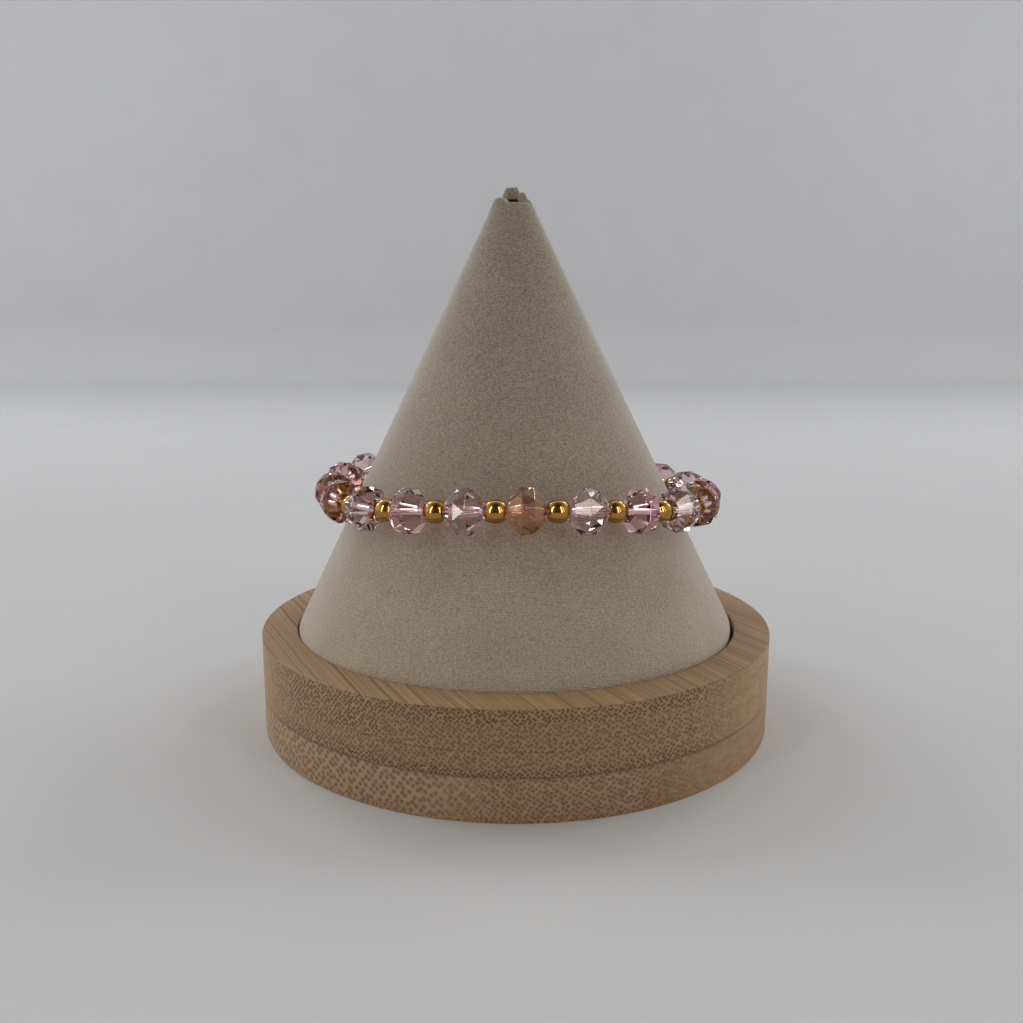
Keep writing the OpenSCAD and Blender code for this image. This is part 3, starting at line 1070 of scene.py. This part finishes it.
@dataclass
class ClothCone:
    """The cloth covered cone, with its tip cut off, opened and folded back over a hole painted dark inside as
    shade.

    Angles at the tip are in degrees, from the right hand side and with 90 at the back: where a fold starts
    and ends, and how wide its shoulders are. Lengths given without MM are in millimetres, and frays are
    shares of the waves. A fray wave is its scale, its size, and how far up in the noise it starts.
    """

    cloth: Material
    rim_height: float
    foot_height: float
    rim_radius: float = 42.95 * MM
    apex_height: float = 87.9 * MM
    tip_height: float = 81.2 * MM
    foot_depth: float = 4.0 * MM
    foot_round: float = 3.5 * MM
    foot_steps: int = 10
    shoulder: float = 0.8 * MM
    shoulder_shares: tuple[Span, ...] = ((0.3, 0.35), (0.65, 0.08))
    # Where the painted shade inside the hole lies.
    shaded_hollow_radius: float = 1.34 * MM
    shaded_hollow_depths: Span = (0.02 * MM, 3.1 * MM)
    fold_height: float = 2.3
    fold_angles: Place = (50, 136, 30)
    lump_height: float = 1.2
    lump_angles: Place = (-16, 78, 22)
    lip_dip: float = 1.0
    lip_angles: Place = (-124, -8, 46)
    dip_depth: float = 2.4
    cut_fray: Span = (0.3, 0.6)
    cut_depth: float = 0.3
    still_radius: float = 0.5
    ring_slack: float = 0.02
    side_fray: float = 0.2
    fray_waves: tuple[Place, ...] = ((800.0, 0.16, 7.3), (2400.0, 0.07, 0.0))
    fray_seed: int = 8
    lean_deg: float = 0.3
    shift: Span = (-0.25 * MM, -0.2 * MM)
    steps: int = 176
    ring_gap: float = 1.4 * MM
    tip_rings: tuple[TipRing, ...] = (
        TipRing(2.66, 0.0, 0.1, 0.1),
        TipRing(2.46, 0.0, 0.15, 0.62),
        TipRing(2.2, 0.0, 0.0, 0.95),
        TipRing(1.9, 0.0, 0.0, 1.0),
        TipRing(1.65, 0.0, -0.1, 0.9),
        TipRing(1.45, 0.0, -0.25, 0.55),
        TipRing(1.36, 0.03, -0.3, 0.02),
        TipRing(1.3, 0.12, 0.5, 0.04),
        TipRing(1.3, 0.4, 0.8, 0.0),
        TipRing(1.3, 0.8, 0.8, 0.0),
        TipRing(1.3, 1.3, 0.4, 0.0),
        TipRing(1.3, 2.2, 0.0, 0.0),
        TipRing(1.2, 3.0, 0.0, 0.0),
    )

    def build(self) -> Object:
        """Builds the cover.

        Returns:
            The piece.
        """
        mesh = bmesh.new()
        lathe(mesh, self._outline(), self.steps, False)
        self._unroll(mesh)
        self._mark_painted_hollow_shade(mesh)
        self._shape_tip(mesh)
        lean = Matrix.Rotation(math.radians(-self.lean_deg), 4, "Y")
        place = Matrix.Translation((*self.shift, self.rim_height))
        bmesh.ops.transform(mesh, matrix=place @ lean, verts=mesh.verts)
        for vertex in mesh.verts:
            vertex.co.z = max(vertex.co.z, self.foot_height)
        return make_piece(mesh, "cloth_cone", self.cloth, "display_cone", smooth_deg=60)

    def _side_radius(self, height: float) -> float:
        """Gives the radius of the straight side at a height above the rim."""
        return self.rim_radius * (1 - height / self.apex_height)

    def _outline(self) -> list[Span]:
        """Lists the outline from the middle of the foot up to the bottom of the tip's hole.

        Returns:
            Points as radius and height over the rim, in metres.
        """
        half_angle = math.atan(self.rim_radius / self.apex_height)
        foot_z = -self.foot_depth + self.foot_round
        touch_z = foot_z + self.foot_round * math.sin(half_angle)
        middle = self._side_radius(touch_z) - self.foot_round * math.cos(half_angle)
        sweep = math.pi / 2 + half_angle
        points = [(0.0, -self.foot_depth)]
        for step in range(self.foot_steps + 1):
            angle = -math.pi / 2 + sweep * step / self.foot_steps
            out, up = self.foot_round * math.cos(angle), self.foot_round * math.sin(angle)
            points.append((middle + out, foot_z + up))
        edge_z = self.tip_height - self.shoulder
        rings = math.ceil((edge_z - touch_z) / self.ring_gap)
        points += [
            (self._side_radius(z), z)
            for z in (touch_z + (edge_z - touch_z) * step / rings for step in range(1, rings + 1))
        ]
        edge_r = self._side_radius(edge_z)
        points += [
            (edge_r - inwards * self.shoulder, self.tip_height - down * self.shoulder)
            for inwards, down in self.shoulder_shares
        ]
        points += [(ring.radius * MM, self.tip_height - ring.depth * MM) for ring in self.tip_rings]
        return points + [(0.0, self.tip_height - self.tip_rings[-1].depth * MM)]

    def _mark_painted_hollow_shade(self, mesh: Mesh) -> None:
        """Marks the inside of the tip's hole, where the cloth is painted dark as shade.

        Args:
            mesh: The cover, before its tip is shaped.
        """
        layer = mesh.faces.layers.float.new("painted_hollow_shade")
        shallow, deep = self.shaded_hollow_depths
        for face in mesh.faces:
            centre = face.calc_center_median()
            inside = math.hypot(centre.x, centre.y) < self.shaded_hollow_radius
            face[layer] = 1.0 if inside and shallow < self.tip_height - centre.z < deep else 0.0

    def _shape_tip(self, mesh: Mesh) -> None:
        """Raises the folds behind the hole, hollows out under them, dips the front lip and frays the cut.

        Args:
            mesh: The cover, with its rings as they were turned.
        """
        noise.seed_set(self.fray_seed)
        for vertex in mesh.verts:
            x, y, z = vertex.co
            depth = (self.tip_height - z) / MM
            radius = math.hypot(x, y) / MM
            if depth > self.tip_rings[-1].depth or radius < self.still_radius:
                continue
            angle = math.degrees(math.atan2(y, x))
            fold = self.fold_height * self._plateau(angle, *self.fold_angles)
            fold = max(fold, self.lump_height * self._plateau(angle, *self.lump_angles))
            ring = min(self.tip_rings, key=lambda r: r.distance(radius, depth))
            on_ring = ring.distance(radius, depth) < self.ring_slack
            push = ring.push * min(fold / self.lump_height, 1.0) if on_ring else 0.0
            lift = ring.lift * fold if on_ring else 0.0
            near_cut = max(1 - depth / self.dip_depth, 0.0)
            lift -= self.lip_dip * self._plateau(angle, *self.lip_angles) * near_cut
            least, most = self.cut_fray
            fray = min(most, least + abs(lift)) if depth < self.cut_depth else self.side_fray * near_cut
            start = Vector((x, y, z))
            vertex.co += Vector((x, y, 0)).normalized() * push * MM + Vector((0, 0, lift * MM))
            for scale, size, offset in self.fray_waves:
                wave = noise.noise_vector(start * scale + Vector((0.0, 0.0, offset)))
                vertex.co += wave * size * fray * MM

    @staticmethod
    def _plateau(value: float, low: float, high: float, soft: float) -> float:
        """Gives 1 between two limits and 0 outside, with soft shoulders centred on them.

        Args:
            value: The value to place.
            low: The lower limit.
            high: The upper limit.
            soft: The width of a shoulder.

        Returns:
            The share, from 0 to 1.
        """
        rise = min(max((value - low) / soft + 0.5, 0.0), 1.0)
        fall = min(max((high - value) / soft + 0.5, 0.0), 1.0)
        share = min(rise, fall)
        return share * share * (3 - 2 * share)

    def _unroll(self, mesh: Mesh) -> None:
        """Lays the cone's skin out flat as the cloth was cut, with its join at the back.

        Args:
            mesh: The cover, before its tip is shaped.
        """
        layer = mesh.loops.layers.uv.new("cloth")
        turn_share = math.sin(math.atan(self.rim_radius / self.apex_height))
        unit = CLOTH_UNIT_MM * MM
        for face in mesh.faces:
            centre = face.calc_center_median()
            face_turn = math.atan2(centre.x, -centre.y)
            for loop in face.loops:
                co = loop.vert.co
                turn = math.atan2(co.x, -co.y) if math.hypot(co.x, co.y) > 10 * MERGE else face_turn
                turn += math.tau * round((face_turn - turn) / math.tau)
                slope = math.hypot(co.x, co.y) / turn_share
                slope += max(co.z - self.tip_height, 0.0)
                flat = turn * turn_share
                loop[layer].uv = (slope * math.sin(flat) / unit, -slope * math.cos(flat) / unit)


@dataclass
class BambooBase:
    """The round bamboo base, turned from three glued layers, with a shallow recess."""

    bamboo: Material
    radius: float
    height: float
    recess_radius: float = 43.3 * MM
    recess_depth: float = 4.0 * MM
    edge_round: float = 0.2 * MM
    steps: int = 192

    def build(self) -> Object:
        """Builds the base.

        Returns:
            The piece.
        """
        floor = self.height - self.recess_depth
        outline = [
            (0.0, 0.0),
            (self.radius, 0.0),
            (self.radius, self.height),
            (self.recess_radius, self.height),
            (self.recess_radius, floor),
            (0.0, floor),
        ]
        mesh = bmesh.new()
        lathe(mesh, outline, self.steps, False)
        worn = [edge for edge in sharp_edges(mesh, angle_deg=45) if self._is_outer(edge, floor)]
        soften(mesh, worn, self.edge_round, segments=3)
        return make_piece(mesh, "bamboo_stand", self.bamboo, "bamboo_base", smooth_deg=40)

    def _is_outer(self, edge: bmesh.types.BMEdge, floor: float) -> bool:
        """Tells whether an edge is one of those that a hand can touch."""
        return abs(edge.verts[0].co.z - floor) > self.edge_round


@dataclass(frozen=True)
class Lamp:
    """One soft lamp: where it hangs, what it is turned to, its size, its colour and its radiance.

    A lamp that only gleams shows in gloss and glass, and lights nothing matt.
    """

    name: str
    place: Place
    aim: Place
    width: float
    height: float
    colour: str
    radiance: float
    only_gleams: bool = False

    def hang(self) -> Object:
        """Hangs the lamp.

        Returns:
            The lamp.
        """
        arm = Vector(self.place) - Vector(self.aim)
        data = bpy.data.lights.new(self.name, "AREA")
        data.shape = "RECTANGLE"
        data.size = self.width
        data.size_y = self.height
        data.color = linear(self.colour)[:3]
        data.energy = self.radiance * self.width * self.height * math.pi
        lamp = bpy.data.objects.new(self.name, data)
        lamp.location = self.place
        lamp.visible_diffuse = not self.only_gleams
        lamp.rotation_euler = arm.to_track_quat("Z", "Y").to_euler()
        bpy.context.scene.collection.objects.link(lamp)
        return lamp


@dataclass(frozen=True)
class SkyLobe:
    """A soft bright patch of the room: where its middle lies, how tight it is, its colour and strength."""

    azimuth_deg: float
    elevation_deg: float
    tightness: float
    colour: str
    strength: float

    def add(self, tree: Tree, ray: Feed) -> Feed:
        """Adds the lobe's light to a world's tree. Azimuth 0 is the viewer's side.

        Args:
            tree: The world's tree.
            ray: The direction that is looked in.

        Returns:
            The lobe's colour in that direction.
        """
        turn, rise = math.radians(self.azimuth_deg), math.radians(self.elevation_deg)
        arm = (math.sin(turn) * math.cos(rise), -math.cos(turn) * math.cos(rise), math.sin(rise))
        facing = add_node(tree, "VectorMath", [ray, arm], operation="DOT_PRODUCT")
        lit = add_node(tree, "Math", [facing, 0.0], operation="MAXIMUM")
        shape = add_node(tree, "Math", [lit, self.tightness], operation="POWER")
        light = [share * self.strength for share in linear(self.colour)[:3]]
        return add_node(tree, "VectorMath", [light, shape], operation="SCALE")


@dataclass
class Studio:
    """A pale paper sweep, soft light all round but for a dim stretch behind the viewer, and the camera."""

    paper: Material
    camera_place: Place = (-0.84 * MM, -185.75 * MM, 74.5 * MM)
    camera_pitch_deg: float = 10.47
    lens_mm: float = 33.3
    floor_half_width: float = 2.4
    floor_front: float = -1.6
    bend_start: float = 1.3
    bend_radius: float = 0.1
    wall_height: float = 1.6
    bend_steps: int = 12
    lamps: tuple[Lamp, ...] = (
        Lamp("strip_left", (-0.31, -0.31, 0.27), (0, 0, 0.045), 0.028, 0.48, "#fff8ee", 4.0),
        Lamp("strip_right", (0.31, -0.31, 0.27), (0, 0, 0.045), 0.028, 0.48, "#fff8ee", 4.2),
        Lamp("gleam_left", (-0.3, -0.32, 0.25), (0, 0, 0.045), 0.06, 0.46, "#fff8ee", 7.5, True),
        Lamp("gleam_right", (0.21, -0.39, 0.25), (0, 0, 0.045), 0.06, 0.46, "#fff8ee", 7.5, True),
        Lamp("back_left", (-0.44, 0.52, 0.64), (0, 0, 0.045), 0.2, 0.16, "#fffcf8", 5.0),
        Lamp("back_right", (0.44, 0.52, 0.64), (0, 0, 0.045), 0.2, 0.16, "#fffcf8", 5.0),
        Lamp("wall_wash", (0, 0.75, 1.3), (0, 1.4, 0.2), 2.4, 0.3, "#f3f5ff", 1.7),
        Lamp("far_left", (-1.1, 0.5, 0.7), (-0.7, 1.0, 0), 0.6, 0.3, "#ffffff", 4.5),
        Lamp("far_right", (1.1, 0.5, 0.7), (0.7, 1.0, 0), 0.6, 0.3, "#ffffff", 4.1),
    )
    sky: tuple[SkyLobe, ...] = (
        SkyLobe(-90, 15, 4.0, "#ffffff", 0.45),
        SkyLobe(90, 15, 4.0, "#ffffff", 0.4),
        SkyLobe(0, 50, 6.0, "#ffffff", 0.05),
        SkyLobe(0, 10, 5.0, "#e07a40", 0.05),
        SkyLobe(-50, 20, 8.0, "#ffffff", 0.27),
        SkyLobe(50, 20, 8.0, "#ffffff", 0.42),
        SkyLobe(-80, 8, 12.0, "#ffffff", 0.25),
        SkyLobe(-135, 30, 4.0, "#ffffff", 0.86),
        SkyLobe(135, 30, 4.0, "#ffffff", 0.76),
        SkyLobe(-125, 25, 20.0, "#ffffff", 0.3),
        SkyLobe(125, 25, 20.0, "#ffffff", 0.5),
    )

    def build(self) -> None:
        """Sets up the sweep, the lamps, the sky and the camera."""
        self._sweep()
        for lamp in self.lamps:
            lamp.hang()
        self._sky()
        self._camera()

    def _sweep(self) -> None:
        """Makes the paper: a floor that bends up into a wall behind the object."""
        mesh = bmesh.new()
        points = [(self.floor_front, 0.0), (self.bend_start, 0.0)]
        for step in range(1, self.bend_steps + 1):
            angle = math.pi / 2 * step / self.bend_steps
            back, up = self.bend_radius * math.sin(angle), self.bend_radius * (1 - math.cos(angle))
            points.append((self.bend_start + back, up))
        points.append((self.bend_start + self.bend_radius, self.wall_height))
        line = [mesh.verts.new((-self.floor_half_width, y, z)) for y, z in points]
        edges = [mesh.edges.new(pair) for pair in zip(line, line[1:])]
        sheet = bmesh.ops.extrude_edge_only(mesh, edges=edges)
        moved = [item for item in sheet["geom"] if isinstance(item, bmesh.types.BMVert)]
        bmesh.ops.translate(mesh, verts=moved, vec=(2 * self.floor_half_width, 0, 0))
        bmesh.ops.recalc_face_normals(mesh, faces=mesh.faces)
        if mesh.faces[0].normal.z < 0:
            bmesh.ops.reverse_faces(mesh, faces=mesh.faces)
        for face in mesh.faces:
            face.smooth = True
        data = bpy.data.meshes.new("paper_sweep")
        mesh.to_mesh(data)
        mesh.free()
        data.materials.append(self.paper)
        sweep = bpy.data.objects.new("paper_sweep", data)
        bpy.context.scene.collection.objects.link(sweep)

    def _sky(self) -> None:
        """Fills the room with soft light that is dim on the viewer's side."""
        world = bpy.data.worlds.new("soft_room")
        bpy.context.scene.world = world
        world.use_nodes = True
        tree = world.node_tree
        tree.nodes.clear()
        ray = add_node(tree, "TexCoord").outputs["Generated"]
        total = self.sky[0].add(tree, ray)
        for lobe in self.sky[1:]:
            total = add_node(tree, "VectorMath", [total, lobe.add(tree, ray)], operation="ADD")
        background = add_node(tree, "Background", {"Color": total, "Strength": 1.0})
        add_node(tree, "OutputWorld", {"Surface": background})

    def _camera(self) -> None:
        """Places the camera at the photo's angle."""
        data = bpy.data.cameras.new("camera")
        data.lens = self.lens_mm
        data.clip_start = 5 * MM
        camera = bpy.data.objects.new("camera", data)
        camera.location = self.camera_place
        camera.rotation_euler = (math.radians(90 - self.camera_pitch_deg), 0, 0)
        bpy.context.scene.collection.objects.link(camera)
        bpy.context.scene.camera = camera
        bpy.context.scene.view_settings.view_transform = "Standard"


def corners(box: Iterable[Vector]) -> list[list[float]]:
    """Turns a box's two corners into plain lists."""
    return [list(corner) for corner in box]


def main() -> None:
    """Builds the object's pieces in order, then the studio."""
    logging.basicConfig(level=logging.INFO, format="%(message)s")
    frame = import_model()
    nodes = frame["nodes"]
    base_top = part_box("bamboo_base")[1]
    cone_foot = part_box("display_cone")[0]
    gold = PolishedGold().make()
    BambooBase(Bamboo().make(), radius=base_top.x, height=base_top.z).build()
    ClothCone(SuedeCloth().make(), rim_height=base_top.z, foot_height=cone_foot.z).build()
    CrystalRow(CrystalGlass().make()).build(nodes)
    SpacerRow(gold).build(nodes)
    Stringing(NylonThread().make(), gold).build(nodes)
    Studio(SweepPaper().make()).build()


if __name__ == "__main__":
    main()
